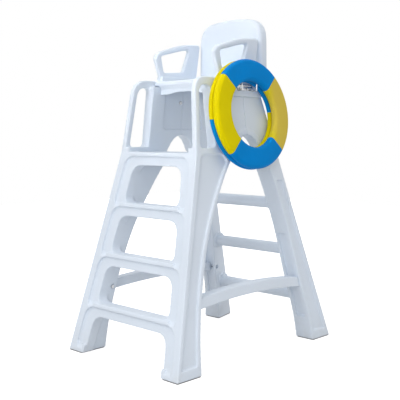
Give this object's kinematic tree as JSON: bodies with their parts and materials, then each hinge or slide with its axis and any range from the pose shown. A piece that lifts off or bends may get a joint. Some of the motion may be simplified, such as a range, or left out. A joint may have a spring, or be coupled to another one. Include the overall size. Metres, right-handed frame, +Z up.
{
  "type": "lifeguard chair",
  "caption": "Tall free-standing lifeguard chair of moulded white plastic with a ladder front, rear rungs, armrests and a blue and yellow foam lifebuoy on its side hooks",
  "frame": {"origin": "On the ground, midway between the four feet", "axes": "+Z up. The ladder and the front of the seat face -Y, the backrest is on the +Y side, and the lifebuoy hangs on the +X side."},
  "size_m": [0.8388, 1.2196, 1.7898],
  "materials": {
    "white_plastic": "white moulded polyethylene with a soft sheen and a faint grain",
    "blue_foam": "smooth blue closed-cell foam",
    "yellow_foam": "smooth yellow closed-cell foam",
    "hook_steel": "stainless wire and plate, satin",
    "bolt_steel": "stainless hexagon heads, satin",
    "foot_rubber": "dark matt rubber pad"
  },
  "bodies": {
    "root": {"ladder_moulding": "white_plastic", "platform_panel": "white_plastic", "seat": "white_plastic", "backrest": "white_plastic", "rear_leg_right": "white_plastic", "rear_leg_left": "white_plastic", "rear_rung_1": "white_plastic", "rear_rung_2": "white_plastic", "rear_rung_3": "white_plastic", "side_beam_right": "white_plastic", "side_beam_left": "white_plastic", "armrest_right": "white_plastic", "armrest_left": "white_plastic", "foot_pad_front_right": "foot_rubber", "foot_pad_front_left": "foot_rubber", "foot_pad_rear_right": "foot_rubber", "foot_pad_rear_left": "foot_rubber", "seam_bolt_right": "bolt_steel", "seam_bolt_left": "bolt_steel", "seat_screw_front_right": "bolt_steel", "seat_screw_rear_right": "bolt_steel", "seat_screw_front_left": "bolt_steel", "seat_screw_rear_left": "bolt_steel", "beam_bolt_front_right": "bolt_steel", "beam_bolt_rear_right": "bolt_steel", "beam_bolt_front_left": "bolt_steel", "beam_bolt_rear_left": "bolt_steel", "backrest_bolt_right": "bolt_steel", "backrest_bolt_left": "bolt_steel", "hook_bracket": "hook_steel", "bracket_screw_1": "bolt_steel", "bracket_screw_2": "bolt_steel"},
    "lifebuoy": {"buoy_front_top": "blue_foam", "buoy_front_left": "yellow_foam", "buoy_front_bottom": "blue_foam", "buoy_front_right": "yellow_foam", "buoy_back_top": "yellow_foam", "buoy_back_left": "blue_foam", "buoy_back_bottom": "yellow_foam", "buoy_back_right": "blue_foam"}
  },
  "joints": [
    {"name": "lifebuoy_lift_off", "type": "slide", "parent": "root", "child": "lifebuoy", "axis": [0.9397, 0, 0.342], "range_m": [0, 0.25]}
  ]
}
